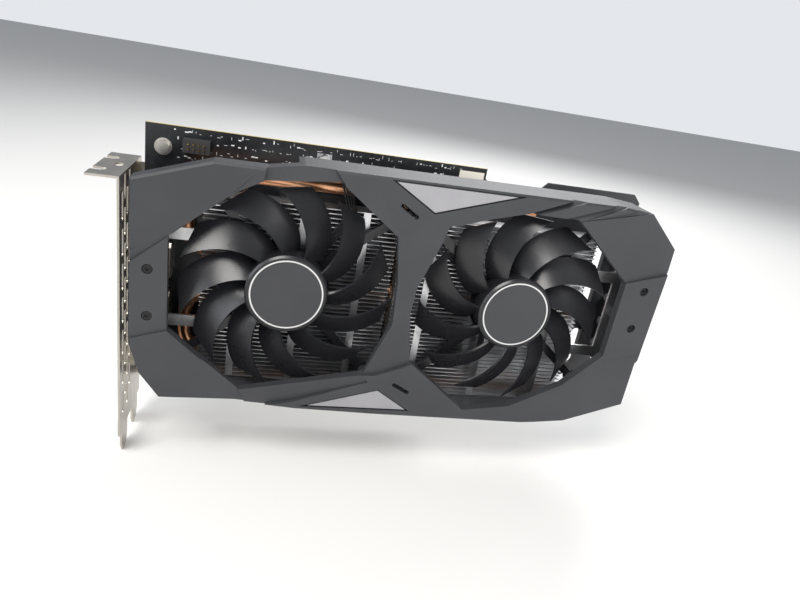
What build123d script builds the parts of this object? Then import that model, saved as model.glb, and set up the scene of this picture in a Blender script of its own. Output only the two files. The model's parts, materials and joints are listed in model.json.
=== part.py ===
"""Dual-fan graphics card: board, bracket, finned cooler with heat pipes, faceted shroud, two fans.

Card directions: x runs from the bracket plate to the tail, y from the shroud's face to the back
plate, z up from the bracket's tongue tips. Planes below place every sketch in those directions.
"""
import os
from math import cos, radians, sin

from build123d import *

os.makedirs("parts", exist_ok=True)

# ---------------------------------------------------------------- driving dimensions (mm)
card_length = 225.6          # bracket plate to tail tip
card_thickness = 40.5        # shroud face to back plate screws
bracket_height = 120.02
bracket_width = 38.74        # two slots wide
slot_pitch = 20.32
sheet = 0.86                 # bracket steel
flange_reach = 11.43
board_thickness = 1.57
board_left = 2.0
board_length = 143.0
board_top = 134.6
board_front = 34.6
finger_bottom = 12.6
finger_height = 8.25
fan_radius = 44.0
fan_centre_z = 79.6
fan_left_x = 61.9
fan_spacing = 98.3
blade_count = 11
blade_thickness = 1.1
hub_radius = 16.5
shaft_radius = 1.5
bearing_clearance = 0.05
shroud_wall = 2.0
shroud_left = 3.0
shroud_depth = 20.0
fin_pitch = 1.9
fin_thickness = 0.35
pipe_radius = 2.8
seat_gap = 0.3               # air left between pieces that only face each other

# ---------------------------------------------------------------- worked-out places
plate_x = -(card_length - flange_reach) / 2
front_y = -card_thickness / 2
board_back = board_front + board_thickness
board_right = board_left + board_length
board_bottom = finger_bottom + finger_height
fan_x = (fan_left_x, fan_left_x + fan_spacing)
sides = ("left", "right")
turn = {"left": 1, "right": -1}


def facing(y):
    """Plane facing the viewer of the fans, at depth y; its own axes are card x and z."""
    return Plane(origin=(plate_x, front_y + y, 0), x_dir=(1, 0, 0), z_dir=(0, -1, 0))


def level(z):
    """Level plane at height z; its own axes are card x and y."""
    return Plane(origin=(plate_x, front_y, z), x_dir=(1, 0, 0), z_dir=(0, 0, 1))


def across(x):
    """Plane parallel to the bracket plate, at x; its own axes are card y and z."""
    return Plane(origin=(plate_x + x, front_y, 0), x_dir=(0, 1, 0), z_dir=(1, 0, 0))


def in_card(x, y, z):
    return Vector(plate_x + x, front_y + y, z)


def finish(builder, name):
    builder.part.label = name
    export_step(builder.part, f"parts/{name}.step")


# ================================================================ circuit board
tab_start = 42.5             # bracket plate to the edge contacts
tab_short = 11.65
key_width = 1.9
tab_long = 71.65
tab_end = tab_start + tab_short + key_width + tab_long
hook_start = tab_end + 3.2
hook_length = 7.5
board_hole_radius = 1.6
gpu_x = 70.0
gpu_z = 76.0
cooler_pitch = 58.0
plate_hole_spots = [(9.0, 126.0), (board_right - 6.0, 30.0)]
cooler_spots = [
    (gpu_x + sx * cooler_pitch / 2, gpu_z + sz * cooler_pitch / 2) for sx in (-1, 1) for sz in (-1, 1)
]

with BuildPart() as circuit_board:
    with BuildSketch(facing(board_back)) as board_outline:
        with BuildLine():
            Polyline(
                (board_left, board_bottom), (tab_start, board_bottom), (tab_start, finger_bottom + 1),
                (tab_start + 1, finger_bottom), (tab_end - 1, finger_bottom), (tab_end, finger_bottom + 1),
                (tab_end, board_bottom), (hook_start, board_bottom), (hook_start, finger_bottom + 2),
                (hook_start + hook_length, finger_bottom + 2), (hook_start + hook_length, board_bottom),
                (board_right, board_bottom), (board_right, board_top), (board_left, board_top), close=True,
            )
        make_face()
        with Locations((tab_start + tab_short + key_width / 2, finger_bottom + finger_height / 2)):
            Rectangle(key_width, finger_height, mode=Mode.SUBTRACT)
        with Locations(*plate_hole_spots, *cooler_spots):
            Circle(board_hole_radius, mode=Mode.SUBTRACT)
    extrude(amount=board_thickness)
finish(circuit_board, "circuit_board")

contact_pitch = 1.0
contact_width = 0.7
contact_height = 5.6
contact_thickness = 0.05
contact_z = finger_bottom + 0.9 + contact_height / 2
contact_xs = [tab_start + 0.85 + contact_pitch * i for i in range(11)]
contact_xs += [tab_start + tab_short + key_width + 0.85 + contact_pitch * i for i in range(71)]
with BuildPart() as edge_contacts:
    for face_y in (board_front, board_back + contact_thickness):
        with BuildSketch(facing(face_y)):
            with Locations(*[(x, contact_z) for x in contact_xs]):
                Rectangle(contact_width, contact_height)
        extrude(amount=contact_thickness)
finish(edge_contacts, "edge_contacts")


def chips(name, spots, width, height, thick, corner=0.0):
    """A group of flat packages soldered to the board's front."""
    with BuildPart() as group:
        with BuildSketch(facing(board_front)):
            with Locations(*spots):
                if corner > 0:
                    RectangleRounded(width, height, corner)
                else:
                    Rectangle(width, height)
        extrude(amount=thick)
    finish(group, name)


substrate_thick = 1.2
die_thick = 0.8
die_front = board_front - substrate_thick - die_thick
chips("gpu_substrate", [(gpu_x, gpu_z)], 37, 37, substrate_thick)
with BuildPart() as gpu_die:
    with BuildSketch(facing(board_front - substrate_thick)):
        with Locations((gpu_x, gpu_z)):
            Rectangle(20, 16)
    extrude(amount=die_thick)
finish(gpu_die, "gpu_die")

memory_spots = [(39, 60), (39, 76), (39, 92), (62, 107), (78, 107), (101, 62)]
memory_thick = 1.1
chips("memory_chips", memory_spots, 12, 14, memory_thick)
phase_zs = (50, 58.5, 67, 86, 94.5, 103, 111.5)
choke_x = 118.0
chips("power_chokes", [(choke_x, z) for z in phase_zs], 7, 7, 6.0, 0.8)
chips("power_stages", [(choke_x + 9, z) for z in phase_zs], 5, 6, 0.9)
chips("ceramic_capacitors", [(choke_x - 7, z + dz) for z in phase_zs for dz in (-2, 2)], 1.6, 2.6, 1.2)

capacitor_radius = 3.1
capacitor_spots = [(choke_x + 17, z) for z in phase_zs] + [(66, 119.5), (73, 128.5)]
with BuildPart() as solid_capacitors:
    with BuildSketch(facing(board_front)):
        with Locations(*capacitor_spots):
            Rectangle(2 * capacitor_radius, 2 * capacitor_radius)
    extrude(amount=0.9)
    with BuildSketch(facing(board_front - 0.9)):
        with Locations(*capacitor_spots):
            Circle(capacitor_radius)
    extrude(amount=4.9)
finish(solid_capacitors, "solid_capacitors")

# programming header near the bracket, with its pins
header_x = 22.0
header_z = 128.0
header_body_depth = 5.0
with BuildPart() as pin_header:
    with BuildSketch(facing(board_front)):
        with Locations((header_x, header_z)):
            Rectangle(10.4, 5.2)
            with GridLocations(2.0, 2.0, 4, 2):
                Rectangle(0.7, 0.7, mode=Mode.SUBTRACT)
    extrude(amount=header_body_depth)
finish(pin_header, "pin_header")
with BuildPart() as header_pins:
    with BuildSketch(facing(board_front)):
        with Locations((header_x, header_z)):
            with GridLocations(2.0, 2.0, 4, 2):
                Rectangle(0.5, 0.5)
    extrude(amount=header_body_depth + 1.2)
finish(header_pins, "header_pins")

# power socket on the board's top edge, mouth upwards
power_x = 127.0
power_top = 128.5
power_height = 12.0
power_front = board_front - 9.6
power_pitch = 4.2
with BuildPart() as power_socket:
    with BuildSketch(level(power_top - power_height)):
        with Locations((power_x, (power_front + board_front) / 2)):
            Rectangle(4 * power_pitch + 2.4, board_front - power_front)
    extrude(amount=power_height)
    with BuildSketch(level(power_top)):
        with Locations((power_x, (power_front + board_front) / 2)):
            with GridLocations(power_pitch, power_pitch, 4, 2):
                Rectangle(power_pitch - 0.8, power_pitch - 0.8)
    extrude(amount=-(power_height - 1.5), mode=Mode.SUBTRACT)
finish(power_socket, "power_socket")
with BuildPart() as power_pins:
    with BuildSketch(level(power_top - power_height + 1.5)):
        with Locations((power_x, (power_front + board_front) / 2)):
            with GridLocations(power_pitch, power_pitch, 4, 2):
                Circle(0.55)
    extrude(amount=power_height - 4)
finish(power_pins, "power_pins")

# ================================================================ sockets and bracket
socket_zs = {"hdmi_socket": 101.0, "displayport_socket_1": 79.0, "displayport_socket_2": 57.0,
             "displayport_socket_3": 35.0}
socket_width = 15.6
socket_drop = 6.2            # height of a socket above the board
socket_wall = 0.4
socket_reach = 1.3           # how far a socket stands out of the plate's inner face
socket_length = 15.0
socket_y = board_front - socket_drop / 2
tongue_thick = 1.6
with BuildPart() as socket_tongues:
    for z in socket_zs.values():
        with BuildSketch(across(socket_length - socket_reach - socket_wall)):
            with Locations((socket_y, z)):
                Rectangle(tongue_thick, socket_width - 4.5)
        extrude(amount=-(socket_length - 2.5))
finish(socket_tongues, "socket_tongues")
for socket_name, z in socket_zs.items():
    with BuildPart() as socket:
        with BuildSketch(across(-socket_reach)):
            with BuildLine():
                half = socket_width / 2
                Polyline(
                    (socket_y + socket_drop / 2, z - half), (socket_y + socket_drop / 2, z + half),
                    (socket_y - socket_drop / 4, z + half), (socket_y - socket_drop / 2, z + half - 1.6),
                    (socket_y - socket_drop / 2, z - half + 1.6), (socket_y - socket_drop / 4, z - half),
                    close=True,
                )
            make_face()
        extrude(amount=socket_length)
        mouth = socket.faces().sort_by(Axis.X)[0]
        offset(amount=-socket_wall, openings=mouth)
    finish(socket, socket_name)

tongue_bottom_y = 3.4        # front edge of a bracket tongue
tongue_width = 10.19
shoulder_z = 10.4
notch_width = 4.42
notch_depth = 5.1
notch_y = 9.21
bracket_tab_reach = 14.0     # tab that carries the board
socket_clearance = 0.35
vent_width = 2.4
vent_height = 11.0
vent_pitch_y = 3.9
vent_pitch_z = 14.0
with BuildPart() as io_bracket:
    with BuildSketch(across(0)):
        with BuildLine():
            Polyline(
                (0, shoulder_z), (tongue_bottom_y, shoulder_z), (tongue_bottom_y, 4),
                (tongue_bottom_y + 2.2, 0), (tongue_bottom_y + tongue_width - 2.2, 0),
                (tongue_bottom_y + tongue_width, 4), (tongue_bottom_y + tongue_width, shoulder_z),
                (tongue_bottom_y + slot_pitch, shoulder_z), (tongue_bottom_y + slot_pitch, 4),
                (tongue_bottom_y + slot_pitch + 2.2, 0),
                (tongue_bottom_y + slot_pitch + tongue_width - 2.2, 0),
                (tongue_bottom_y + slot_pitch + tongue_width, 4),
                (tongue_bottom_y + slot_pitch + tongue_width, shoulder_z),
                (bracket_width, shoulder_z), (bracket_width, bracket_height), (0, bracket_height), close=True,
            )
        make_face()
        for z in socket_zs.values():
            with Locations((socket_y, z)):
                Rectangle(socket_drop + 2 * socket_clearance, socket_width + 2 * socket_clearance,
                          mode=Mode.SUBTRACT)
        for row in range(7):
            for column in range(4):
                vent_z = 24 + row * vent_pitch_z + (column % 2) * vent_pitch_z / 2
                with Locations((5.2 + column * vent_pitch_y, vent_z)):
                    SlotOverall(vent_height, vent_width, rotation=90, mode=Mode.SUBTRACT)
    extrude(amount=-sheet)
    with BuildSketch(level(bracket_height)):
        with Locations((-flange_reach / 2, bracket_width / 2)):
            Rectangle(flange_reach, bracket_width)
        for y in (notch_y, notch_y + slot_pitch):
            with Locations((-flange_reach + notch_depth / 2 - notch_width / 4, y)):
                Rectangle(notch_depth - notch_width / 2, notch_width, mode=Mode.SUBTRACT)
            with Locations((-flange_reach + notch_depth - notch_width / 2, y)):
                Circle(notch_width / 2, mode=Mode.SUBTRACT)
        with Locations((-4.2, notch_y + slot_pitch / 2)):
            SlotOverall(6.0, 3.0, rotation=90, mode=Mode.SUBTRACT)
    extrude(amount=-sheet)
    with BuildSketch(facing(board_back + seat_gap)):
        with Locations((bracket_tab_reach / 2, bracket_height - 6.5), (bracket_tab_reach / 2, 24.5)):
            Rectangle(bracket_tab_reach, 9)
        with Locations((9.0, bracket_height - 6.5), (9.0, 24.5)):
            Circle(1.3, mode=Mode.SUBTRACT)
    extrude(amount=-sheet)
finish(io_bracket, "io_bracket")

# ================================================================ cooler
fin_front = 16.6
fin_back = 26.4
base_skin = 0.6               # base plate left between the pipes and the fins
groove_lip = 0.3              # how far the pipes stand out of the base plate's back
pipe_y = fin_back + base_skin + pipe_radius
base_back = pipe_y + pipe_radius
fin_top = 116.0
fin_blocks = {"left": (27.0, 106.0, 33.0), "right": (108.5, 198.0, 29.6)}   # start, end, bottom
bend_x = 20.0
pipe_bend = 11.0
high_pipe_z = 121.0
high_pipe_y = 22.0
low_pipe_z = 37.5

pipe_routes = {
    "heat_pipe_upper": [
        (gpu_x + 22, pipe_y, gpu_z + 9), (bend_x, pipe_y, gpu_z + 9), (bend_x, pipe_y, 104.0),
        (bend_x, high_pipe_y, high_pipe_z), (166.0, high_pipe_y, high_pipe_z),
    ],
    "heat_pipe_middle": [(gpu_x - 24, pipe_y, gpu_z), (200.0, pipe_y, gpu_z)],
    "heat_pipe_lower": [
        (gpu_x + 22, pipe_y, gpu_z - 9), (bend_x, pipe_y, gpu_z - 9), (bend_x, pipe_y, low_pipe_z),
        (196.0, pipe_y, low_pipe_z),
    ],
}
pipe_bends = {"heat_pipe_upper": [pipe_bend, 7.0, 7.0], "heat_pipe_lower": [pipe_bend, pipe_bend]}
for pipe_name, route in pipe_routes.items():
    points = [in_card(*point) for point in route]
    with BuildPart() as heat_pipe:
        with BuildLine() as pipe_line:
            if pipe_name in pipe_bends:
                FilletPolyline(*points, radius=pipe_bends[pipe_name])
            else:
                Line(*points)
        with BuildSketch(Plane(points[0], z_dir=points[1] - points[0])):
            Circle(pipe_radius)
        sweep()
    finish(heat_pipe, pipe_name)

# base plate over the GPU, grooved for the three pipes
with BuildPart() as cold_plate:
    with BuildSketch(facing(base_back - groove_lip)):
        with Locations((gpu_x, gpu_z)):
            Rectangle(44, 40)
        with Locations(*cooler_spots):
            Circle(4.5)
        for spot_x, spot_z in cooler_spots:
            with Locations(((spot_x + gpu_x) / 2, (spot_z + gpu_z) / 2)):
                Rectangle(abs(spot_x - gpu_x) + 4, 7, rotation=45 if (spot_x > gpu_x) == (spot_z > gpu_z) else -45)
    extrude(amount=base_back - groove_lip - fin_back)
    with BuildSketch(across(gpu_x)):
        with Locations(*[(pipe_y, gpu_z + dz) for dz in (-9, 0, 9)]):
            Circle(pipe_radius)
    extrude(amount=60, both=True, mode=Mode.SUBTRACT)
    with BuildSketch(facing(base_back)):
        with Locations(*cooler_spots):
            Circle(1.4)
    extrude(amount=4, mode=Mode.SUBTRACT)
finish(cold_plate, "cold_plate")

for side, (fin_start, fin_end, fin_bottom) in fin_blocks.items():
    fin_count = int((fin_top - fin_bottom) / fin_pitch)
    tab_xs = [fin_start + 14 + i * (fin_end - fin_start - 28) / 2 for i in range(3)]
    with BuildPart() as fin_stack:
        with BuildSketch(level(fin_bottom)):
            with BuildLine():
                Polyline(
                    (fin_start, fin_front), (fin_end, fin_front), (fin_end, fin_back),
                    (fin_start, fin_back), close=True,
                )
            make_face()
        extrude(amount=fin_thickness)
        fin = fin_stack.part
        for step in range(1, fin_count):
            add(fin.moved(Location((0, 0, step * fin_pitch))))
        for tab_x in tab_xs:
            with BuildSketch(level(fin_bottom)):
                with Locations((tab_x, fin_front + 0.3), (tab_x, fin_back - 0.3)):
                    Rectangle(3.0, 0.6)
            extrude(amount=(fin_count - 1) * fin_pitch + fin_thickness)
    finish(fin_stack, f"fin_stack_{side}")

# soft pads between the board's parts and the cooler, and the springs and screws that pull it down
with BuildPart() as thermal_pads:
    with BuildSketch(facing(board_front - memory_thick)):
        with Locations(*memory_spots[:3]):
            Rectangle(11, 13)
    extrude(amount=board_front - memory_thick - base_back)
finish(thermal_pads, "thermal_pads")

spring_height = 2.4
screw_head = 1.2
with BuildPart() as cooler_screws:
    with BuildSketch(facing(board_back + spring_height)):
        with Locations(*cooler_spots):
            Circle(3.0)
    extrude(amount=-screw_head)
    with BuildSketch(facing(board_back + spring_height)):
        with Locations(*cooler_spots):
            Circle(1.35)
    extrude(amount=board_back + spring_height - base_back + 3.5)
finish(cooler_screws, "cooler_screws")
with BuildPart() as cooler_springs:
    for turn_number in range(3):
        with BuildSketch(facing(board_back + 0.7 + 0.8 * turn_number)):
            with Locations(*cooler_spots):
                Circle(2.6)
                Circle(1.9, mode=Mode.SUBTRACT)
        extrude(amount=0.7)
    with BuildSketch(facing(board_back + spring_height - 0.05)):
        with Locations(*[(x + 2.25, z) for x, z in cooler_spots]):
            Rectangle(0.5, 0.5)
    extrude(amount=spring_height - 0.1)
finish(cooler_springs, "cooler_springs")

# ================================================================ shroud
left_opening = [(17.0, 61.0), (16.6, 99.5), (39.3, 119.0), (49.4, 124.6), (78.1, 127.6), (102.7, 109.1),
                (105.6, 90.6), (106.4, 71.1), (97.6, 46.6), (45.7, 35.6)]
right_opening = [(113.2, 77.0), (114.0, 88.3), (120.6, 107.4), (122.6, 115.6), (140.4, 121.2),
                 (154.6, 125.0), (177.1, 124.7), (206.3, 99.9), (206.4, 63.8), (190.4, 47.3),
                 (166.9, 34.6), (145.3, 31.5), (117.1, 53.9)]
shroud_outline = [(shroud_left, 120.0), (31.4, 129.6), (50.6, 129.6), (64.0, 132.0), (196.0, 132.4),
                  (209.6, 131.0), (card_length - 0.3, 116.8), (card_length, 107.5), (225.2, 62.0),
                  (224.3, 60.6), (225.4, 37.7), (197.2, 27.4), (175.3, 25.7), (106.0, 26.6),
                  (70.0, 27.6), (44.5, 29.8), (14.4, 29.4), (6.7, 40.9), (shroud_left, 54.0)]
skin = 4.0                   # depth of the shroud's face before its hollow starts
upper_trim = [(96.6, 131.4), (151.9, 131.4), (115.5, 120.0)]
lower_trim = [(71.5, 29.2), (105.1, 39.6), (120.8, 29.4)]
trim_recess = 1.4
trim_gap = 0.6
slots = [((105.5, 119.9), -32.0), ((115.0, 40.7), -28.0)]
post_radius = 53.0
post_size = 2.3
post_angles = {"left": (130, 38, 315, 220), "right": (50, 142, 225, 320)}
fan_plate_y = 12.8
fan_plate_thick = 1.6
mount_screw_radius = 0.9
face_screws = [(9.5, 85.9), (9.5, 66.4), (216.2, 96.6), (215.8, 78.5)]


def fan_spot(side, angle):
    """Place of the screw that holds a fan's frame at an angle about the fan."""
    centre = fan_x[sides.index(side)]
    return (centre + post_radius * cos(radians(angle)), fan_centre_z + post_radius * sin(radians(angle)))


fan_spots = {side: [fan_spot(side, angle) for angle in post_angles[side]] for side in sides}


def facet(region, slope):
    """The material in front of a sloping face: region in x and z, slope as three (x, y, z) points."""
    with BuildPart() as cut:
        with BuildSketch(facing(skin)):
            with BuildLine():
                Polyline(*region, close=True)
            make_face()
        extrude(amount=skin + 2)
        low, middle, high = [in_card(*point) for point in slope]
        normal = (middle - low).cross(high - low).normalized()
        if normal.Y > 0:
            normal = -normal
        split(bisect_by=Plane(low, z_dir=normal), keep=Keep.TOP)
    return cut.part


facets = [
    # upper left face falls back towards its lower edge
    facet([(3, 88), (17, 99.8), (39.3, 119), (50.6, 131), (31.4, 131), (0, 121.5), (0, 88)],
          [(50.6, 0, 128.8), (3, 0, 116), (10, 1.7, 94)]),
    # screw column, stepping out downwards
    facet([(3, 56.4), (17.2, 60.9), (17, 99.8), (3, 88), (0, 88), (0, 56)],
          [(3, 0.7, 88), (17, 0.7, 99), (3, 0.9, 56)]),
    # bright slivers that close both steps
    facet([(0, 87.5), (3, 87.5), (17, 99.8), (3, 92.5), (0, 92.5)],
          [(3, 0.1, 87.5), (17, 0.7, 99.8), (3, 2.0, 92.5)]),
    # top bridge over the left fan, set back
    facet([(49.4, 124.0), (50.6, 134), (73.9, 134), (79.5, 127), (60, 124)],
          [(49.4, 2.0, 124.6), (73, 2.0, 131), (60, 2.0, 125)]),
    # middle waist between the fans, falling away on both sides of its lower crease
    facet([(105, 73), (114, 77.4), (119.5, 54), (114.5, 51.2), (102.9, 46.4), (95, 46)],
          [(105, 0.0, 73), (114, 0.0, 77.4), (110, 1.6, 50)]),
    # light slashes over the right fan
    facet([(154.6, 125), (176.5, 134), (183, 134), (158, 124.6)],
          [(154.6, 2.0, 125), (176, 2.0, 132), (158, 0.8, 125)]),
    facet([(170, 124.4), (196, 134), (201, 134), (177.1, 124)],
          [(170, 1.8, 125), (196, 1.8, 132), (177, 0.6, 124.4)]),
    facet([(177.1, 124), (209.4, 134), (226, 134), (211, 131.4)],
          [(177.1, 0.6, 124.7), (210, 2.2, 131.4), (200, 2.6, 133)]),
    # big upper right face, falling back to the tail tip
    facet([(177.1, 124.7), (209.4, 131.6), (228, 133), (228, 106), (206.3, 99.6)],
          [(177.1, 0.0, 124.7), (206.3, 0.9, 99.9), (225, 1.8, 117)]),
    # lower right face under its light crease
    facet([(166.9, 34.2), (190.4, 46), (206.4, 61.5), (228, 67), (228, 24), (160, 24)],
          [(206.4, 0.2, 62), (173.4, 0.2, 33), (224, 2.0, 40)]),
    # lower left face
    facet([(0, 57.2), (3, 57.2), (16.7, 60.9), (45.7, 36), (50, 27), (0, 27)],
          [(3, 0.0, 57), (16.7, 0.0, 60.5), (10, 1.6, 34)]),
    # bottom edge between the fans
    facet([(45, 36), (97.6, 46.6), (100, 43), (68, 31), (50, 27), (44, 27)],
          [(45.7, 0.6, 35.6), (97.6, 0.0, 46.6), (60, 1.8, 30)]),
]

with BuildPart() as shroud:
    with BuildSketch(facing(shroud_depth)):
        with BuildLine():
            Polyline(*shroud_outline, close=True)
        make_face()
    extrude(amount=shroud_depth)
    front_rim = shroud.faces().sort_by(Axis.Y)[0].edges()
    chamfer(front_rim, 0.9)
    with BuildSketch(facing(shroud_depth)):
        with BuildLine():
            Polyline(*shroud_outline, close=True)
        make_face()
        offset(amount=-shroud_wall)
    extrude(amount=shroud_depth - skin, mode=Mode.SUBTRACT)
    with BuildSketch(facing(skin)):
        for opening in (left_opening, right_opening):
            with BuildLine():
                Polyline(*opening, close=True)
            make_face()
    extrude(amount=skin, mode=Mode.SUBTRACT)
    for cut in facets:
        add(cut, mode=Mode.SUBTRACT)
    with BuildSketch(facing(trim_recess)):
        for triangle in (upper_trim, lower_trim):
            with BuildLine():
                Polyline(*triangle, close=True)
            make_face()
    extrude(amount=trim_recess + 1, mode=Mode.SUBTRACT)
    with BuildSketch(facing(skin)):
        for (slot_x, slot_z), angle in slots:
            with Locations((slot_x, slot_z)):
                SlotOverall(9.0, 1.8, rotation=angle)
    extrude(amount=skin, mode=Mode.SUBTRACT)
    # the rear of the walls is cut low at the upper left, where the board shows over it
    with BuildSketch(facing(shroud_depth)):
        with Locations((28, 125)):
            Rectangle(68, 14)
    extrude(amount=shroud_depth - 8.5, mode=Mode.SUBTRACT)
    with BuildSketch(facing(fan_plate_y)):
        with Locations(*fan_spots["left"], *fan_spots["right"]):
            Circle(post_size)
    extrude(amount=fan_plate_y - skin + 0.5)
    with BuildSketch(facing(fan_plate_y)):
        with Locations(*fan_spots["left"], *fan_spots["right"]):
            Circle(mount_screw_radius)
    extrude(amount=fan_plate_y - skin - 0.5, mode=Mode.SUBTRACT)
    with BuildSketch(facing(fin_front - 0.1)):
        with Locations(*face_screws):
            Circle(2.9)
    extrude(amount=fin_front - skin + 0.4)
    with BuildSketch(facing(fin_front)):
        with Locations(*face_screws):
            Circle(1.15)
    extrude(amount=fin_front + 1, mode=Mode.SUBTRACT)
    with BuildSketch(facing(1.9)):
        with Locations(*face_screws):
            Circle(2.0)
    extrude(amount=3, mode=Mode.SUBTRACT)
finish(shroud, "shroud")

for trim_name, triangle in {"trim_plate_upper": upper_trim, "trim_plate_lower": lower_trim}.items():
    with BuildPart() as trim_plate:
        with BuildSketch(facing(trim_recess)):
            with BuildLine():
                Polyline(*triangle, close=True)
            make_face()
            offset(amount=-trim_gap, kind=Kind.INTERSECTION)
        extrude(amount=trim_recess - 0.3)
    finish(trim_plate, trim_name)

# end brackets of the cooler, tapped for the shroud's four face screws
for side, screw_spots, strip_x, reach_x in (
    ("left", face_screws[:2], 9.5, fin_blocks["left"][0]),
    ("right", face_screws[2:], 214.6, fin_blocks["right"][1]),
):
    with BuildPart() as end_bracket:
        with BuildSketch(facing(fin_front + 1.2)):
            with Locations((strip_x, 81)):
                Rectangle(8, 52)
            with Locations(((strip_x + reach_x) / 2, 96), ((strip_x + reach_x) / 2, 58)):
                Rectangle(abs(reach_x - strip_x), 5)
            with Locations(*screw_spots):
                Circle(1.0, mode=Mode.SUBTRACT)
        extrude(amount=1.2)
    finish(end_bracket, f"end_bracket_{side}")
with BuildPart() as shroud_screws:
    with BuildSketch(facing(fin_front + 1.2)):
        with Locations(*face_screws):
            Circle(0.95)
    extrude(amount=fin_front + 1.2 - 1.9)
    with BuildSketch(facing(1.9)):
        with Locations(*face_screws):
            Circle(1.75)
    extrude(amount=0.9)
    with BuildSketch(facing(1.0)):
        with Locations(*face_screws):
            RegularPolygon(0.8, 6)
    extrude(amount=-0.5, mode=Mode.SUBTRACT)
finish(shroud_screws, "shroud_screws")

# ================================================================ back plate
plate_front = card_thickness - 2.4
plate_back = card_thickness - 0.8
plate_vents = [(158 + 9 * i, z) for i in range(7) for z in (50, 75, 100)]
back_standoffs = [(20.0, 26.0), (20.0, 120.0), (board_right - 8, 125.0), (board_right - 8, 50.0)]
with BuildPart() as back_plate:
    with BuildSketch(facing(plate_back)):
        with BuildLine():
            Polyline(
                (16, 24), (120, 24), (126, 27.4), (197, 27.4), (225.0, 38), (225.0, 62), (225.2, 127.8),
                (221.5, 131.6), (177.0, 131.6), (172, 126.5), (150, 126.5), (144, 131.6), (22, 131.6), (16, 126),
                close=True,
            )
        make_face()
        with Locations(*plate_vents):
            SlotOverall(20.0, 4.6, rotation=90, mode=Mode.SUBTRACT)
        with Locations(*back_standoffs):
            Circle(1.3, mode=Mode.SUBTRACT)
        with Locations(*cooler_spots):
            Circle(3.6, mode=Mode.SUBTRACT)
    extrude(amount=plate_back - plate_front)
    chamfer(back_plate.faces().sort_by(Axis.Y)[-1].outer_wire().edges(), 0.5)
finish(back_plate, "back_plate")
with BuildPart() as back_plate_spacers:
    with BuildSketch(facing(plate_front)):
        with Locations(*back_standoffs):
            Circle(2.6)
            Circle(1.3, mode=Mode.SUBTRACT)
    extrude(amount=plate_front - board_back)
finish(back_plate_spacers, "back_plate_spacers")
with BuildPart() as back_plate_screws:
    with BuildSketch(facing(card_thickness)):
        with Locations(*back_standoffs):
            Circle(2.3)
    extrude(amount=0.8)
    with BuildSketch(facing(card_thickness - 0.8)):
        with Locations(*back_standoffs):
            Circle(1.2)
    extrude(amount=card_thickness - 0.8 - board_back)
finish(back_plate_screws, "back_plate_screws")

# tail frame: closes the space behind the right fan and carries the shroud's tail on the back plate
tail_wall_x = card_length - shroud_wall - 1.6
tail_low = 48.0
tail_high = 112.0
with BuildPart() as tail_frame:
    with BuildSketch(facing(plate_front)):
        with Locations((tail_wall_x - shroud_wall / 2, (tail_low + tail_high) / 2)):
            Rectangle(shroud_wall, tail_high - tail_low)
    extrude(amount=plate_front - skin)
    with BuildSketch(facing(plate_front)):
        with Locations((tail_wall_x - 4, (tail_low + tail_high) / 2)):
            Rectangle(8, tail_high - tail_low)
    extrude(amount=shroud_wall)
    with BuildSketch(across(tail_wall_x)):
        with Locations((29, (tail_low + tail_high) / 2)):
            with GridLocations(0, 12.5, 1, 5):
                SlotOverall(12, 5)
    extrude(amount=-shroud_wall, mode=Mode.SUBTRACT)
finish(tail_frame, "tail_frame")

# board screws: the large one on its bright ring, and those of the bracket tabs
with BuildPart() as board_screws:
    with BuildSketch(facing(board_front)):
        with Locations(*plate_hole_spots):
            Circle(3.4)
    extrude(amount=1.0)
    with BuildSketch(facing(board_front - 1.0)):
        with Locations(*plate_hole_spots):
            Circle(2.4)
    extrude(amount=1.3)
    with BuildSketch(facing(board_front)):
        with Locations(*plate_hole_spots):
            Circle(board_hole_radius - 0.1)
    extrude(amount=-board_thickness)
finish(board_screws, "board_screws")

# ================================================================ fans
rotor_front = 1.9
rotor_back = 11.6
rotor_wall = 1.6
magnet_thick = 1.6
air_gap = 0.6
stator_back = fan_plate_y
section_radii = (hub_radius - 0.8, 24.0, 33.0, fan_radius - 1.6)
section_sweeps = (0.0, 7.0, 19.0, 34.0)
section_chords = (9.6, 13.0, 15.0, 15.0)
section_pitches = (48.0, 34.0, 28.0, 26.0)
blade_mid_y = 8.4
magnet_outer = hub_radius - rotor_wall
magnet_inner = magnet_outer - magnet_thick
stator_radius = magnet_inner - air_gap
sleeve_radius = 3.2
tube_radius = 4.4


def blade_plane(side, centre_x, radius, angle):
    """Plane square to the fan's radius at an angle, its own x along the turn."""
    spoke = Vector(cos(radians(angle)), 0, sin(radians(angle)))
    along = Vector(-sin(radians(angle)), 0, cos(radians(angle))) * turn[side]
    middle = in_card(centre_x, blade_mid_y, fan_centre_z) + spoke * radius
    return Plane(middle, x_dir=along, z_dir=spoke)


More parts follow.
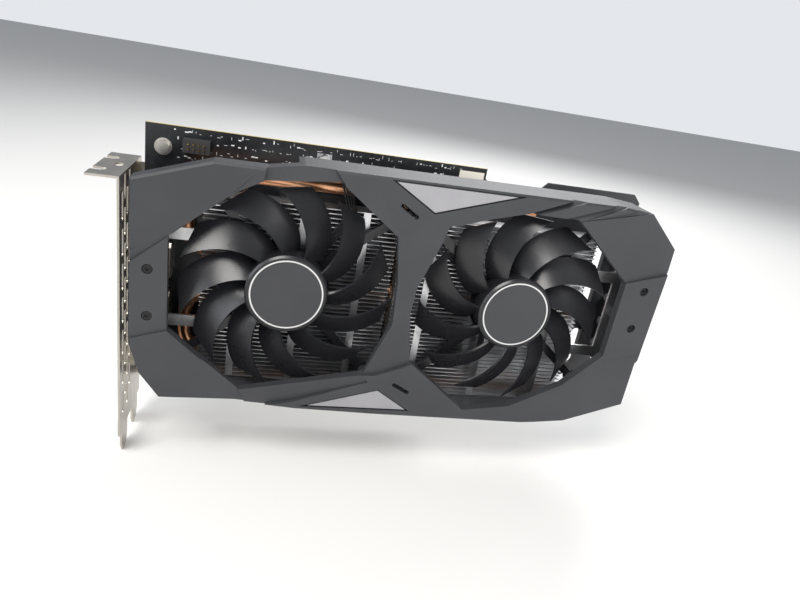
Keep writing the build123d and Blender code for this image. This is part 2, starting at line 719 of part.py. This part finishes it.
for side, centre_x in zip(sides, fan_x):
    hub_spot = (centre_x, fan_centre_z)
    with BuildPart() as blade:
        for radius, sweep_angle, chord, pitch in zip(
            section_radii, section_sweeps, section_chords, section_pitches
        ):
            with BuildSketch(blade_plane(side, centre_x, radius, 90 + turn[side] * sweep_angle)):
                Rectangle(chord, blade_thickness, rotation=turn[side] * pitch)
        loft()
    fan_axis = Axis(in_card(centre_x, 0, fan_centre_z), (0, 1, 0))
    with BuildPart() as fan_rotor:
        with BuildSketch(facing(rotor_back)):
            with Locations(hub_spot):
                Circle(hub_radius)
        extrude(amount=rotor_back - rotor_front)
        chamfer(fan_rotor.faces().sort_by(Axis.Y)[0].edges(), 0.8)
        for number in range(blade_count):
            add(blade.part.rotate(fan_axis, 360 / blade_count * number))
        with BuildSketch(facing(rotor_back)):
            with Locations(hub_spot):
                Circle(magnet_outer)
        extrude(amount=rotor_back - rotor_front - 1.8, mode=Mode.SUBTRACT)
        with BuildSketch(facing(rotor_front)):
            with Locations(hub_spot):
                Circle(hub_radius - 1.2)
        extrude(amount=-0.5, mode=Mode.SUBTRACT)
    finish(fan_rotor, f"fan_rotor_{side}")

    with BuildPart() as hub_disc:
        with BuildSketch(facing(rotor_front + 0.5)):
            with Locations(hub_spot):
                Circle(hub_radius - 1.4)
        extrude(amount=0.3)
    finish(hub_disc, f"hub_disc_{side}")

    with BuildPart() as fan_magnet:
        with BuildSketch(facing(rotor_back - 0.4)):
            with Locations(hub_spot):
                Circle(magnet_outer)
                Circle(magnet_inner, mode=Mode.SUBTRACT)
        extrude(amount=5.6)
    finish(fan_magnet, f"fan_magnet_{side}")

    with BuildPart() as fan_shaft:
        with BuildSketch(facing(rotor_front + 1.8)):
            with Locations(hub_spot):
                Circle(shaft_radius)
        extrude(amount=-(fan_plate_y - rotor_front - 2.6))
    finish(fan_shaft, f"fan_shaft_{side}")

    with BuildPart() as fan_bearing:
        with BuildSketch(facing(fan_plate_y)):
            with Locations(hub_spot):
                Circle(sleeve_radius)
                Circle(shaft_radius + bearing_clearance, mode=Mode.SUBTRACT)
        extrude(amount=fan_plate_y - rotor_front - 2.6)
    finish(fan_bearing, f"fan_bearing_{side}")

    with BuildPart() as fan_stator:
        with BuildSketch(facing(rotor_back - 0.6)):
            with Locations(hub_spot):
                Circle(stator_radius)
                Circle(tube_radius, mode=Mode.SUBTRACT)
            with Locations(hub_spot):
                with PolarLocations(stator_radius - 3.4, 4):
                    Rectangle(3.2, 5.6, mode=Mode.SUBTRACT)
        extrude(amount=4.6)
    finish(fan_stator, f"fan_stator_{side}")

    with BuildPart() as fan_frame:
        with BuildSketch(facing(fan_plate_y + fan_plate_thick)):
            with Locations(hub_spot):
                Circle(hub_radius + 1)
            for angle, (spot_x, spot_z) in zip(post_angles[side], fan_spots[side]):
                with Locations(((spot_x + centre_x) / 2, (spot_z + fan_centre_z) / 2)):
                    Rectangle(post_radius, 3.6, rotation=angle)
                with Locations((spot_x, spot_z)):
                    Circle(3.0)
                    Circle(mount_screw_radius + 0.15, mode=Mode.SUBTRACT)
        extrude(amount=fan_plate_thick)
        with BuildSketch(facing(fan_plate_y)):
            with Locations(hub_spot):
                Circle(tube_radius)
        extrude(amount=fan_plate_y - rotor_front - 3.0)
        with BuildSketch(facing(fan_plate_y)):
            with Locations(hub_spot):
                Circle(sleeve_radius)
        extrude(amount=fan_plate_y - rotor_front - 2.0, mode=Mode.SUBTRACT)
    finish(fan_frame, f"fan_frame_{side}")

    with BuildPart() as fan_screws:
        with BuildSketch(facing(fan_plate_y + fan_plate_thick)):
            with Locations(*fan_spots[side]):
                Circle(1.8)
        extrude(amount=-0.9)
        with BuildSketch(facing(fan_plate_y + fan_plate_thick)):
            with Locations(*fan_spots[side]):
                Circle(mount_screw_radius - 0.05)
        extrude(amount=fan_plate_thick + 6)
    finish(fan_screws, f"fan_screws_{side}")

# fan plug on its board socket
plug_x = 83.0
plug_z = 125.0
with BuildPart() as fan_socket:
    with BuildSketch(facing(board_front)):
        with Locations((plug_x, plug_z)):
            Rectangle(10.0, 4.6)
    extrude(amount=3.5)
finish(fan_socket, "fan_socket")
with BuildPart() as fan_plug:
    with BuildSketch(facing(board_front - 3.5)):
        with Locations((plug_x, plug_z)):
            Rectangle(8.6, 3.8)
    extrude(amount=5.0)
finish(fan_plug, "fan_plug")

# wires of both fans, from the plug behind the shroud's face to each fan's frame
wire_radius = 0.35
wire_step = 1.05
wire_y = fan_plate_y + fan_plate_thick + 0.9
plug_front = board_front - 3.5 - 5.0
wire_routes = {
    "left": [(80.0, plug_front, plug_z), (80.0, 17.6, plug_z), (84.0, wire_y, 112.0),
             (74.0, wire_y, 96.0), (66.0, wire_y, 92.0)],
    "right": [(84.4, plug_front, plug_z), (84.4, 17.6, plug_z), (101.0, wire_y, 119.5),
              (125.0, wire_y, 100.0), (146.0, wire_y, 88.0)],
}
wire_spread = {"left": Vector(wire_step, 0, 0), "right": Vector(wire_step * 0.7, 0, wire_step * 0.6)}
wire_bends = [2.0, 3.0, 6.0]
for side in sides:
    with BuildPart() as fan_cable:
        for strand in range(4):
            shift = wire_spread[side] * strand
            points = [in_card(*point) + shift for point in wire_routes[side]]
            with BuildLine():
                FilletPolyline(*points, radius=wire_bends)
            with BuildSketch(Plane(points[0], z_dir=points[1] - points[0])):
                Circle(wire_radius)
            sweep()
    finish(fan_cable, f"fan_cable_{side}")
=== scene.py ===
# %% [markdown]
# # A graphics card, finished in Blender
# The card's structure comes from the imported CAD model, which this script loads as a fixed frame.
# It then sets a camera and studio light, gives every part a procedural finish, and adds the few
# pieces that are too thin to matter to the structure: bright rings on the fan hubs, printed marks
# on the board, and a blank label.

# %% Load the frame
import json
import math
import random

import bmesh
import bpy
from mathutils import Matrix, Vector


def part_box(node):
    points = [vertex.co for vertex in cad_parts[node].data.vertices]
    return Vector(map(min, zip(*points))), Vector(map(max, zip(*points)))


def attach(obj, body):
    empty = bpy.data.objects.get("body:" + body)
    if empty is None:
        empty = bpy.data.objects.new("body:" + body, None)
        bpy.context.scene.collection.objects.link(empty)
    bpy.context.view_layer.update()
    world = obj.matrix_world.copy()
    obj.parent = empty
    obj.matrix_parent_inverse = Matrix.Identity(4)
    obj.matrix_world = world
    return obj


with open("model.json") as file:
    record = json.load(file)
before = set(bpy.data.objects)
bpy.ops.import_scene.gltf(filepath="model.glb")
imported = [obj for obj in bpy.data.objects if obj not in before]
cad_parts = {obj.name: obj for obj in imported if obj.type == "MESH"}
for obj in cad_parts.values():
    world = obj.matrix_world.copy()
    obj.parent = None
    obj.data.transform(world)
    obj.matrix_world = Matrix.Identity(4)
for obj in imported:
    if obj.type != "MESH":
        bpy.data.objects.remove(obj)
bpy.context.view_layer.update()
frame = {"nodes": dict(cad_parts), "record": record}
nodes = frame["nodes"]

# %% [markdown]
# ## Places
# The card's own directions start at the bracket plate (x), the shroud's face (y) and the tongue
# tips (z). A small helper turns millimetres in those directions into metres in the frame, so the
# numbers below read like the drawing of the card.

# %% A helper for places on the card
MM = 0.001
SHROUD_LEFT = 3.0 * MM
plate_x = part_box("shroud")[0].x - SHROUD_LEFT
face_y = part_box("shroud")[0].y


def card(x, y, z):
    """A place on the card, in millimetres, as a place in the frame, in metres."""
    return Vector((plate_x + x * MM, face_y + y * MM, z * MM))


print("bracket plate at x =", round(plate_x, 4), "shroud face at y =", round(face_y, 4))

# %% [markdown]
# ## Camera
# The card is seen from a little above and from the left of its middle, with the camera rolled so
# that the card seems to lean. The camera is placed in the card's directions and turned by a
# matrix built from its yaw, pitch and roll. Its lens and its sensor's width are in millimetres.

# %% Camera
YAW, PITCH, ROLL = -0.239, 0.381, 0.178
LENS, SENSOR = 28.0305, 36.0
CAMERA_PLACE = card(51.46, -230.99, 177.91)


def camera_matrix(place):
    """World matrix of a camera whose rest direction looks along +Y with +Z up."""
    rest = Matrix(((1, 0, 0), (0, 0, -1), (0, 1, 0)))
    yaw = Matrix((
        (math.cos(YAW), 0, math.sin(YAW)),
        (0, 1, 0),
        (-math.sin(YAW), 0, math.cos(YAW)),
    ))
    pitch = Matrix((
        (1, 0, 0),
        (0, math.cos(PITCH), -math.sin(PITCH)),
        (0, math.sin(PITCH), math.cos(PITCH)),
    ))
    roll = Matrix((
        (math.cos(ROLL), -math.sin(ROLL), 0),
        (math.sin(ROLL), math.cos(ROLL), 0),
        (0, 0, 1),
    ))
    to_view = roll @ pitch @ yaw @ rest
    flip = Matrix(((1, 0, 0), (0, -1, 0), (0, 0, -1)))
    turned = (flip @ to_view).transposed().to_4x4()
    turned.translation = place
    return turned


camera_data = bpy.data.cameras.new("camera")
camera_data.sensor_width = SENSOR
camera_data.lens = LENS
camera_data.clip_start = 0.01
camera = bpy.data.objects.new("camera", camera_data)
scene = bpy.context.scene
scene.collection.objects.link(camera)
camera.matrix_world = camera_matrix(CAMERA_PLACE)
scene.camera = camera
print("camera lens", round(camera_data.lens, 1), "mm")

# %% [markdown]
# ## Stage
# A pale floor and soft studio light. Light Path tells camera rays from the rest, so the camera
# sees a bright background while the object is lit by a dimmer one.

# %% World and floor
LIT_COLOUR, LIT_STRENGTH = (0.80, 0.84, 0.90, 1), 0.42
SEEN_COLOUR, SEEN_STRENGTH = (0.78, 0.80, 0.83, 1), 1.0
FLOOR_HALF = 3.0
FLOOR_COLOUR, FLOOR_ROUGH = (0.80, 0.79, 0.77, 1), 0.55

scene.view_settings.view_transform = "Standard"
world = bpy.data.worlds.new("studio")
scene.world = world
world.use_nodes = True
world_nodes = world.node_tree.nodes
world_links = world.node_tree.links
sky = world_nodes["Background"]
sky.inputs["Color"].default_value = LIT_COLOUR
sky.inputs["Strength"].default_value = LIT_STRENGTH
backdrop = world_nodes.new("ShaderNodeBackground")
backdrop.inputs["Color"].default_value = SEEN_COLOUR
backdrop.inputs["Strength"].default_value = SEEN_STRENGTH
rays = world_nodes.new("ShaderNodeLightPath")
pick = world_nodes.new("ShaderNodeMixShader")
world_links.new(rays.outputs["Is Camera Ray"], pick.inputs[0])
world_links.new(sky.outputs[0], pick.inputs[1])
world_links.new(backdrop.outputs[0], pick.inputs[2])
world_links.new(pick.outputs[0], world_nodes["World Output"].inputs["Surface"])

floor_mesh = bpy.data.meshes.new("floor")
floor_bm = bmesh.new()
bmesh.ops.create_grid(floor_bm, x_segments=1, y_segments=1, size=FLOOR_HALF)
floor_bm.to_mesh(floor_mesh)
floor_bm.free()
floor = bpy.data.objects.new("floor", floor_mesh)
scene.collection.objects.link(floor)
floor_finish = bpy.data.materials.new("floor_finish")
floor_finish.use_nodes = True
floor_shader = floor_finish.node_tree.nodes["Principled BSDF"]
floor_shader.inputs["Base Color"].default_value = FLOOR_COLOUR
floor_shader.inputs["Roughness"].default_value = FLOOR_ROUGH
floor_mesh.materials.append(floor_finish)
print("floor", 2 * FLOOR_HALF, "m across")

# %% Lamps
# Each lamp has a place, a size in metres, a power in watts and a colour.
LAMPS = {
    "key": ((-0.35, -0.45, 0.85), 0.5, 9.0, (1.0, 0.98, 0.95)),
    "window": ((-0.9, -0.2, 0.35), 0.6, 4.0, (0.93, 0.96, 1.0)),
    "back_rim": ((0.35, 0.75, 0.7), 0.6, 7.0, (1.0, 1.0, 1.0)),
    "front_fill": ((0.5, -0.9, 0.4), 0.8, 5.0, (1.0, 1.0, 1.0)),
}
LAMP_AIM = card(110, 10, 75)

for name, (spot, lamp_size, watts, colour) in LAMPS.items():
    data = bpy.data.lights.new(name, "AREA")
    data.size = lamp_size
    data.energy = watts
    data.color = colour
    light = bpy.data.objects.new(name, data)
    place = Vector(spot)
    turn = (LAMP_AIM - place).to_track_quat("-Z", "Y").to_matrix().to_4x4()
    light.matrix_world = Matrix.Translation(place) @ turn
    scene.collection.objects.link(light)
print("lamps:", len(LAMPS))

# %% [markdown]
# ## Finishes
# Every finish is a small node tree around one Principled shader. A slow noise moves the colour
# between two close shades and the roughness up and down by "patch". Where a surface has a moulded
# or brushed grain, a fine noise drives a bump. One function builds all of it, and each finish
# names its own scales. "stretch" pulls the noise along one direction, which reads as brushing.

# %% Finishes for every part
DARK_STOP, LIGHT_STOP = 0.35, 0.65
SLOW_DETAIL, FINE_DETAIL = 5.0, 3.0
BUMP_DEPTH = 0.2 * MM
SMOOTHEST = 0.02


def finish(name, colour, rough, metal=0.0, vary=0.08, vary_scale=60.0, grain=0.0,
           grain_scale=3000.0, patch=0.05, stretch=(1, 1, 1), second=None):
    """A procedural material. second is the lighter shade, where it isn't just colour made lighter."""
    material = bpy.data.materials.new(name)
    material.use_nodes = True
    tree = material.node_tree
    shader = tree.nodes["Principled BSDF"]
    shader.inputs["Metallic"].default_value = metal
    place = tree.nodes.new("ShaderNodeTexCoord")
    mapping = tree.nodes.new("ShaderNodeMapping")
    mapping.inputs["Scale"].default_value = stretch
    tree.links.new(place.outputs["Object"], mapping.inputs["Vector"])
    slow = tree.nodes.new("ShaderNodeTexNoise")
    slow.inputs["Scale"].default_value = vary_scale
    slow.inputs["Detail"].default_value = SLOW_DETAIL
    tree.links.new(mapping.outputs["Vector"], slow.inputs["Vector"])
    ramp = tree.nodes.new("ShaderNodeValToRGB")
    darker = [c * (1 - vary) for c in colour]
    lighter = list(second) if second else [min(1.0, c * (1 + vary)) for c in colour]
    ramp.color_ramp.elements[0].position = DARK_STOP
    ramp.color_ramp.elements[1].position = LIGHT_STOP
    ramp.color_ramp.elements[0].color = (*darker, 1)
    ramp.color_ramp.elements[1].color = (*lighter, 1)
    tree.links.new(slow.outputs["Fac"], ramp.inputs["Fac"])
    tree.links.new(ramp.outputs["Color"], shader.inputs["Base Color"])
    spread = tree.nodes.new("ShaderNodeMapRange")
    spread.inputs["To Min"].default_value = max(SMOOTHEST, rough - patch)
    spread.inputs["To Max"].default_value = min(1.0, rough + patch)
    tree.links.new(slow.outputs["Fac"], spread.inputs["Value"])
    tree.links.new(spread.outputs["Result"], shader.inputs["Roughness"])
    if grain > 0:
        fine = tree.nodes.new("ShaderNodeTexNoise")
        fine.inputs["Scale"].default_value = grain_scale
        fine.inputs["Detail"].default_value = FINE_DETAIL
        tree.links.new(mapping.outputs["Vector"], fine.inputs["Vector"])
        bump = tree.nodes.new("ShaderNodeBump")
        bump.inputs["Strength"].default_value = grain
        bump.inputs["Distance"].default_value = BUMP_DEPTH
        tree.links.new(fine.outputs["Fac"], bump.inputs["Height"])
        tree.links.new(bump.outputs["Normal"], shader.inputs["Normal"])
    return material


finishes = {
    "shroud_plastic": finish("shroud_plastic", (0.032, 0.033, 0.037), 0.52, vary=0.10,
                             vary_scale=45, grain=0.35),
    "grey_trim": finish("grey_trim", (0.30, 0.295, 0.31), 0.42, metal=0.35, vary=0.05, grain=0.12),
    "fan_plastic": finish("fan_plastic", (0.014, 0.014, 0.016), 0.28, vary=0.10, grain=0.05,
                          patch=0.04),
    "hub_film": finish("hub_film", (0.030, 0.031, 0.034), 0.38, vary=0.06, grain=0.06),
    "nickel_steel": finish("nickel_steel", (0.50, 0.47, 0.42), 0.34, metal=1.0, vary=0.10,
                           grain=0.08, stretch=(1, 1, 0.12), vary_scale=300),
    "fin_aluminium": finish("fin_aluminium", (0.80, 0.80, 0.81), 0.40, metal=1.0, vary=0.08,
                            vary_scale=120),
    "copper": finish("copper", (0.72, 0.32, 0.16), 0.30, metal=1.0, vary=0.14, vary_scale=90,
                     second=(0.80, 0.44, 0.26)),
    "gold": finish("gold", (0.78, 0.56, 0.22), 0.26, metal=1.0, vary=0.08),
    "board_mask": finish("board_mask", (0.010, 0.011, 0.013), 0.30, vary=0.25, vary_scale=400,
                         grain=0.10, grain_scale=1500),
    "black_epoxy": finish("black_epoxy", (0.022, 0.022, 0.023), 0.62, vary=0.12, grain=0.3,
                          grain_scale=2500),
    "substrate": finish("substrate", (0.05, 0.12, 0.07), 0.45, vary=0.15),
    "silicon": finish("silicon", (0.20, 0.21, 0.24), 0.12, metal=0.9, vary=0.05),
    "ferrite": finish("ferrite", (0.11, 0.11, 0.115), 0.7, vary=0.18, grain=0.5, grain_scale=1800),
    "can_aluminium": finish("can_aluminium", (0.70, 0.70, 0.70), 0.30, metal=1.0, vary=0.06,
                            stretch=(1, 0.1, 1)),
    "ceramic": finish("ceramic", (0.42, 0.30, 0.19), 0.5, vary=0.15, vary_scale=600),
    "pad": finish("pad", (0.36, 0.42, 0.52), 0.85, vary=0.1, grain=0.4, grain_scale=900),
    "screw_steel": finish("screw_steel", (0.62, 0.60, 0.55), 0.25, metal=1.0, vary=0.08,
                          stretch=(1, 0.2, 1)),
    "black_screw": finish("black_screw", (0.018, 0.018, 0.019), 0.36, metal=0.6, vary=0.15),
    "bronze": finish("bronze", (0.50, 0.34, 0.17), 0.45, metal=1.0, vary=0.15, grain=0.3),
    "wire": finish("wire", (0.016, 0.016, 0.017), 0.48, vary=0.1, grain=0.15),
    "white_nylon": finish("white_nylon", (0.74, 0.71, 0.63), 0.5, vary=0.05, grain=0.15),
}
for entry in frame["record"]["subparts"]:
    mesh = nodes[entry["node"]].data
    mesh.materials.clear()
    mesh.materials.append(finishes[entry["material_slot"]])
print("finishes:", len(finishes), "on", len(nodes), "nodes")

# %% [markdown]
# ## Bare laminate at the board's edges
# A board is cut from a laminate that is yellowish inside, and the black mask covers only its two
# faces. The faces look along Y, so a surface that looks any other way is a cut edge.

# %% The board's cut edges
BOARD_EDGE = (0.55, 0.44, 0.16, 1)
FACE_LIMIT = 0.5
tree = finishes["board_mask"].node_tree
base_colour = tree.nodes["Principled BSDF"].inputs["Base Color"]
mask_colour = base_colour.links[0].from_socket
surface = tree.nodes.new("ShaderNodeNewGeometry")
split = tree.nodes.new("ShaderNodeSeparateXYZ")
along_y = tree.nodes.new("ShaderNodeMath")
along_y.operation = "ABSOLUTE"
is_edge = tree.nodes.new("ShaderNodeMath")
is_edge.operation = "LESS_THAN"
is_edge.inputs[1].default_value = FACE_LIMIT
blend_edge = tree.nodes.new("ShaderNodeMixRGB")
blend_edge.inputs["Color2"].default_value = BOARD_EDGE
tree.links.new(surface.outputs["True Normal"], split.inputs[0])
tree.links.new(split.outputs["Y"], along_y.inputs[0])
tree.links.new(along_y.outputs[0], is_edge.inputs[0])
tree.links.new(is_edge.outputs[0], blend_edge.inputs["Fac"])
tree.links.new(mask_colour, blend_edge.inputs["Color1"])
tree.links.new(blend_edge.outputs["Color"], base_colour)
print("cut edges of the board in bare laminate")

# %% [markdown]
# ## Small pieces
# The hubs' bright rings and the board's printed marks are too thin to matter to the structure, so
# they are modelled here. Each mark is a plain dash or dot of ink: none of them is a letter.

# %% Functions for new pieces


def piece(name, bm, body, material):
    """A new object from a bmesh, which rides on a body and takes a slot's finish."""
    mesh = bpy.data.meshes.new(name)
    bmesh.ops.recalc_face_normals(bm, faces=bm.faces)
    bm.to_mesh(mesh)
    bm.free()
    mesh.materials.append(material)
    made = bpy.data.objects.new(name, mesh)
    scene.collection.objects.link(made)
    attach(made, body)
    return made


def add_block(bm, low, high):
    """A box between two opposite corners."""
    place = Matrix.Translation((low + high) / 2) @ Matrix.Diagonal((*(high - low), 1))
    bmesh.ops.create_cube(bm, size=1.0, matrix=place)


def add_ring(bm, centre, inner, outer, thickness, steps=96):
    """A flat ring whose back lies at centre and whose front looks along -Y."""
    angles = [2 * math.pi * i / steps for i in range(steps)]
    loops = []
    for radius, depth in ((inner, 0), (outer, 0), (outer, -thickness), (inner, -thickness)):
        loops.append([
            bm.verts.new(centre + Vector((radius * math.cos(a), depth, radius * math.sin(a))))
            for a in angles
        ])
    for here, there in zip(loops, loops[1:] + loops[:1]):
        for i in range(steps):
            j = (i + 1) % steps
            bm.faces.new((here[i], here[j], there[j], there[i]))


print("two kinds of new piece: blocks and rings")

# %% Bright rings on the hubs
RING_INNER, RING_OUTER, RING_THICKNESS = 14.1 * MM, 14.7 * MM, 0.12 * MM
for side in ("left", "right"):
    low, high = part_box(f"hub_disc_{side}")
    hub_face = Vector(((low.x + high.x) / 2, low.y, (low.z + high.z) / 2))
    rim = bmesh.new()
    add_ring(rim, hub_face, RING_INNER, RING_OUTER, RING_THICKNESS)
    piece(f"hub_ring_{side}", rim, f"fan_{side}", finishes["can_aluminium"])
    print("hub ring", side, "in front of y =", round(low.y, 5))

# %% Printed marks on the board
INK = 0.03 * MM
MARK_COLUMNS, MARK_ROWS = 96, 4
MARKS_LEFT, MARKS_WIDTH = 8, 132
FIRST_ROW, ROW_PITCH, ROW_DRIFT = 2.2, 3.4, 0.6
LEFT_OUT, UPRIGHT = 0.45, 0.3
SHORTEST, LONGEST = 0.5, 1.5
HEIGHTS = (0.16, 0.16, 0.5)

draw = random.Random(7)
low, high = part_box("circuit_board")
ink = finish("board_ink", (0.62, 0.63, 0.62), 0.6, vary=0.10, vary_scale=500, grain=0.1)
marks = bmesh.new()
for column in range(MARK_COLUMNS):
    at_x = low.x + (MARKS_LEFT + MARKS_WIDTH * column / (MARK_COLUMNS - 1)) * MM
    for row in range(MARK_ROWS):
        if draw.random() < LEFT_OUT:
            continue
        drift = draw.uniform(-ROW_DRIFT, ROW_DRIFT)
        at_z = high.z - (FIRST_ROW + ROW_PITCH * row + drift) * MM
        long = draw.uniform(SHORTEST, LONGEST) * MM
        tall = draw.choice(HEIGHTS) * MM
        if draw.random() < UPRIGHT:
            long, tall = tall, long
        corner = Vector((at_x, low.y - INK, at_z))
        add_block(marks, corner, corner + Vector((long, 2 * INK, tall)))
piece("board_marks", marks, "card", ink)
print("printed marks on the board, each", 2 * INK / MM, "mm thick")

# %% A blank label on the board
LABEL_WIDTH, LABEL_HEIGHT = 11.4 * MM, 3.6 * MM
label = bmesh.new()
corner = card(132.6, 0, 129.0)
corner.y = low.y - 2 * INK
add_block(label, corner, corner + Vector((LABEL_WIDTH, 3 * INK, LABEL_HEIGHT)))
piece("blank_label", label, "card", finishes["white_nylon"])
print("blank label at the board's right end")
